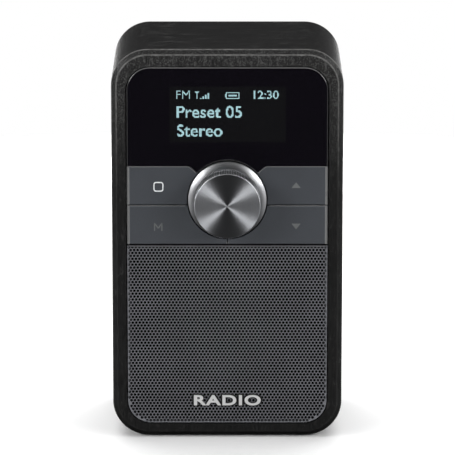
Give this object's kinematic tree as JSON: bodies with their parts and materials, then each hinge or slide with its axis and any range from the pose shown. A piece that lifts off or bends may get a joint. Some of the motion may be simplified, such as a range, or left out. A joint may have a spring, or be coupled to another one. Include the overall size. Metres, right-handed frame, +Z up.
{
  "type": "portable digital radio",
  "caption": "Small upright portable radio: black wooden sleeve cabinet, display window, four keys, a push-and-turn knob, a perforated speaker grille and a folding telescopic antenna.",
  "frame": {"origin": "on the surface it stands on, under the middle of the radio", "axes": "+X to the right as seen from the front, +Y to the back, +Z up"},
  "size_m": [0.076, 0.0696, 0.1314],
  "materials": {
    "black_wood": "satin, open grain",
    "foot_rubber": "matt",
    "chassis_black": "fine matt",
    "window_black": "high gloss",
    "oled_black": "gloss",
    "foam_grey": "soft foam",
    "ribbon_amber": "polyimide film",
    "grille_metal": "satin dark grey",
    "cloth_black": "fine mesh",
    "badge_metal": "polished",
    "chip_black": "moulded epoxy",
    "board_green": "solder mask",
    "zinc_steel": "zinc plated",
    "black_steel": "black coated",
    "ferrite": "sintered",
    "spider_cloth": "resin-dipped cloth",
    "surround_rubber": "soft",
    "bright_steel": "bright",
    "connector_white": "moulded nylon",
    "battery_silver": "foil pouch",
    "tape_white": "double-sided tape",
    "rear_black": "fine spark texture",
    "jack_black": "satin",
    "chrome_tube": "bright",
    "key_grey": "satin",
    "plunger_black": "matt",
    "knob_aluminium": "spun and polished",
    "cone_paper": "coated paper",
    "copper": "enamelled copper wire"
  },
  "bodies": {
    "radio": {"cabinet": "black_wood", "rubber_feet": "foot_rubber", "front_chassis": "chassis_black", "display_window": "window_black", "oled_panel": "oled_black", "oled_cushion": "foam_grey", "oled_ribbon": "ribbon_amber", "speaker_grille": "grille_metal", "grille_cloth": "cloth_black", "badge": "badge_metal", "switch_bodies": "chip_black", "key_board": "board_green", "encoder_body": "chip_black", "encoder_nut": "zinc_steel", "speaker_gasket": "foam_grey", "speaker_basket": "black_steel", "speaker_top_plate": "zinc_steel", "speaker_magnet": "ferrite", "speaker_yoke": "zinc_steel", "speaker_spider": "spider_cloth", "speaker_surround": "surround_rubber", "speaker_screws": "zinc_steel", "main_board": "board_green", "board_screws": "zinc_steel", "tuner_shield": "bright_steel", "board_chips": "chip_black", "board_connectors": "connector_white", "battery_pack": "battery_silver", "battery_pad": "tape_white", "rear_panel": "rear_black", "rear_screws": "black_steel", "io_board": "board_green", "io_screws": "zinc_steel", "usb_socket": "bright_steel", "headphone_socket": "jack_black", "antenna_base": "chrome_tube", "antenna_nut": "zinc_steel"},
    "home_button": {"home_key": "key_grey", "home_switch_plunger": "plunger_black"},
    "menu_button": {"menu_key": "key_grey", "menu_switch_plunger": "plunger_black"},
    "up_button": {"up_key": "key_grey", "up_switch_plunger": "plunger_black"},
    "down_button": {"down_key": "key_grey", "down_switch_plunger": "plunger_black"},
    "encoder_push": {"encoder_plunger": "plunger_black"},
    "knob": {"tuning_knob": "knob_aluminium", "knob_hub": "chassis_black", "encoder_shaft": "bright_steel"},
    "cone": {"speaker_cone": "cone_paper", "dust_cap": "surround_rubber", "voice_coil": "copper"},
    "turret": {"antenna_turret": "chrome_tube", "antenna_pin": "bright_steel"},
    "rod_1": {"antenna_section_1": "chrome_tube"},
    "rod_2": {"antenna_section_2": "chrome_tube"},
    "rod_3": {"antenna_section_3": "chrome_tube"},
    "rod_4": {"antenna_section_4": "chrome_tube", "antenna_tip": "chrome_tube"}
  },
  "joints": [
    {"name": "home_press", "type": "slide", "parent": "radio", "child": "home_button", "axis": [0, 1, 0], "range_m": [0, 0.0005], "stiffness_N_per_m": 600, "springref_m": -0.0008},
    {"name": "menu_press", "type": "slide", "parent": "radio", "child": "menu_button", "axis": [0, 1, 0], "range_m": [0, 0.0005], "stiffness_N_per_m": 600, "springref_m": -0.0008},
    {"name": "up_press", "type": "slide", "parent": "radio", "child": "up_button", "axis": [0, 1, 0], "range_m": [0, 0.0005], "stiffness_N_per_m": 600, "springref_m": -0.0008},
    {"name": "down_press", "type": "slide", "parent": "radio", "child": "down_button", "axis": [0, 1, 0], "range_m": [0, 0.0005], "stiffness_N_per_m": 600, "springref_m": -0.0008},
    {"name": "knob_press", "type": "slide", "parent": "radio", "child": "encoder_push", "axis": [0, 1, 0], "range_m": [0, 0.0006], "stiffness_N_per_m": 1500, "springref_m": -0.001},
    {"name": "knob_turn", "type": "hinge", "parent": "encoder_push", "child": "knob", "pos_m": [0, -0.026, 0.0812], "axis": [0, 1, 0], "continuous": true},
    {"name": "cone_travel", "type": "slide", "parent": "radio", "child": "cone", "axis": [0, 1, 0], "range_m": [-0.0008, 0.0008], "stiffness_N_per_m": 1500, "deforming": ["speaker_surround", "speaker_spider"]},
    {"name": "antenna_swivel", "type": "hinge", "parent": "radio", "child": "turret", "pos_m": [0.026, 0.0275, 0.1189], "axis": [0, 1, 0], "continuous": true},
    {"name": "antenna_tilt", "type": "hinge", "parent": "turret", "child": "rod_1", "pos_m": [0.026, 0.0318, 0.1189], "axis": [1, 0, 0], "range_deg": [0, 90]},
    {"name": "antenna_pull_1", "type": "slide", "parent": "rod_1", "child": "rod_2", "axis": [0, 0, -1], "range_m": [0, 0.076]},
    {"name": "antenna_pull_2", "type": "slide", "parent": "rod_2", "child": "rod_3", "axis": [0, 0, -1], "range_m": [0, 0.076]},
    {"name": "antenna_pull_3", "type": "slide", "parent": "rod_3", "child": "rod_4", "axis": [0, 0, -1], "range_m": [0, 0.076]}
  ]
}
